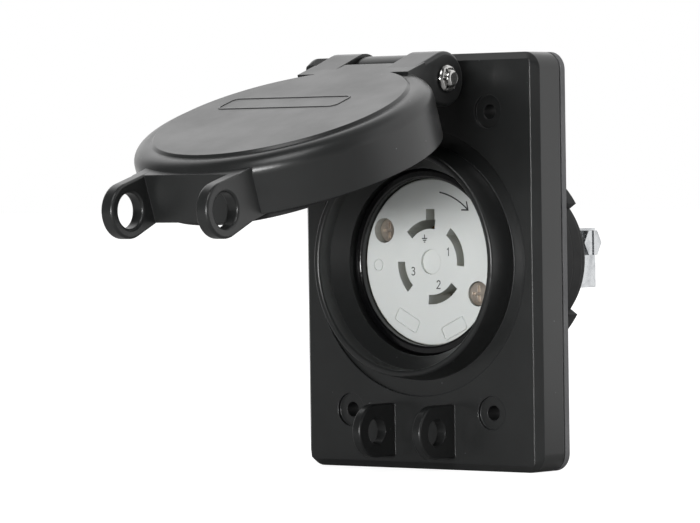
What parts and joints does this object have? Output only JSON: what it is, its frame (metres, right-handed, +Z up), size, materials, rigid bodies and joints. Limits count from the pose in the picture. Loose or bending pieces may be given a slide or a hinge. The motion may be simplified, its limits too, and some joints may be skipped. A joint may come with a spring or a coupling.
{
  "type": "flip-lid locking receptacle",
  "caption": "Rectangular cover plate with a round recessed locking receptacle under a hinged weather-tight flip lid with padlock ears.",
  "frame": {"origin": "centre of the four box-screw holes, in the plane where the gasket meets the box", "axes": "+X right, +Z up for a viewer at the front; +Y into the box, the viewer is at -Y"},
  "size_m": [0.084, 0.1695, 0.1163],
  "materials": {
    "black_plastic": "satin moulded",
    "gasket_rubber": "matte",
    "cellular_rubber": "matte",
    "white_nylon": "satin moulded",
    "black_ring": "gloss",
    "black_nylon": "satin moulded",
    "contact_brass": "rolled",
    "plated_steel": "zinc plated",
    "brass_screw": "turned",
    "stainless_pin": "bright drawn"
  },
  "bodies": {
    "base": {"cover_plate": "black_plastic", "box_gasket": "cellular_rubber", "flange_seal": "gasket_rubber", "receptacle_face": "white_nylon", "face_ring": "black_ring", "receptacle_body": "black_nylon", "rear_cover": "black_nylon", "clamp_ring": "black_nylon", "contact_ground": "contact_brass", "contact_line_1": "contact_brass", "contact_line_2": "contact_brass", "contact_line_3": "contact_brass", "terminal_clamps": "plated_steel", "terminal_screws": "brass_screw", "assembly_screws": "brass_screw", "ring_screws": "plated_steel", "strap_screws": "plated_steel", "ground_strap": "plated_steel", "ground_screw": "plated_steel", "hinge_pin": "stainless_pin", "push_nuts": "stainless_pin"},
    "lid": {"flip_lid": "black_plastic", "lid_gasket": "gasket_rubber"}
  },
  "joints": [
    {"name": "lid_hinge", "type": "hinge", "parent": "base", "child": "lid", "pos_m": [0, -0.0244, 0.0508], "axis": [-1, 0, 0], "range_deg": [-71, 99]}
  ]
}
